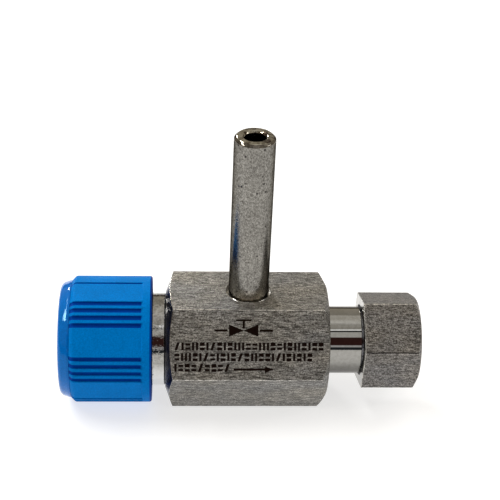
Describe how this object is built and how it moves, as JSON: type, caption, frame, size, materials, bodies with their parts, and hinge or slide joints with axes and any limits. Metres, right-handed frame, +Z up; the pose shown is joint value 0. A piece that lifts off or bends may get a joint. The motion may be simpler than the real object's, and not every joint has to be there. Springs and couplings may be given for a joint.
{
  "type": "needle valve",
  "caption": "Small stainless needle valve: hexagon body, upright inlet tube, ribbed blue knob at one end and a union nut at the other.",
  "frame": {"origin": "on the hexagon's bottom flat, directly below the point where the stem axis and the inlet tube's axis cross", "axes": "+X along the stem and the flow, from the knob towards the union nut; +Z up along the inlet tube; -Y is the front"},
  "size_m": [0.0911, 0.0346, 0.0743],
  "materials": {
    "bar_steel": "drawn stainless hexagon bar with long fine brush lines",
    "nut_steel": "drawn stainless hexagon bar, slightly pitted",
    "tube_steel": "pickled stainless tube, satin with fine pits",
    "turned_steel": "finely turned and polished stainless",
    "knob_plastic": "satin moulded blue plastic",
    "cap_plastic": "glossy moulded blue plastic",
    "insert_brass": "machined",
    "graphite": "pressed graphite"
  },
  "bodies": {
    "valve": {"valve_body": "bar_steel", "inlet_tube": "tube_steel", "bonnet": "turned_steel", "bonnet_gasket": "graphite", "packing_washer": "turned_steel", "packing_ring_1": "graphite", "packing_ring_2": "graphite", "packing_ring_3": "graphite", "gland_follower": "turned_steel", "gland_nut": "turned_steel"},
    "needle": {"needle_tip": "turned_steel", "thrust_ball": "turned_steel"},
    "spindle": {"stem": "turned_steel", "needle_retainer": "turned_steel", "knob_grip": "knob_plastic", "knob_insert": "insert_brass", "knob_screw": "turned_steel", "knob_washer": "turned_steel", "knob_cap": "cap_plastic"},
    "ferrule": {"cutting_ring": "turned_steel"},
    "nut": {"union_nut": "nut_steel"}
  },
  "joints": [
    {"name": "needle_slide", "type": "slide", "parent": "valve", "child": "needle", "axis": [1, 0, 0], "range_m": [-0.0005, 0.0025]},
    {"name": "knob_turn", "type": "hinge", "parent": "needle", "child": "spindle", "pos_m": [0, 0, 0.015], "axis": [1, 0, 0], "range_deg": [-180, 900]},
    {"name": "ferrule_slide", "type": "slide", "parent": "valve", "child": "ferrule", "axis": [1, 0, 0], "range_m": [0, 0.00802]},
    {"name": "nut_turn", "type": "hinge", "parent": "ferrule", "child": "nut", "pos_m": [0.0365, 0, 0.015], "axis": [1, 0, 0], "range_deg": [0, 2160]}
  ],
  "couplings": [
    {"joint": "knob_turn", "follows": "needle_slide", "rad_per_m": 6283.2},
    {"joint": "nut_turn", "follows": "ferrule_slide", "rad_per_m": 4699.5}
  ]
}
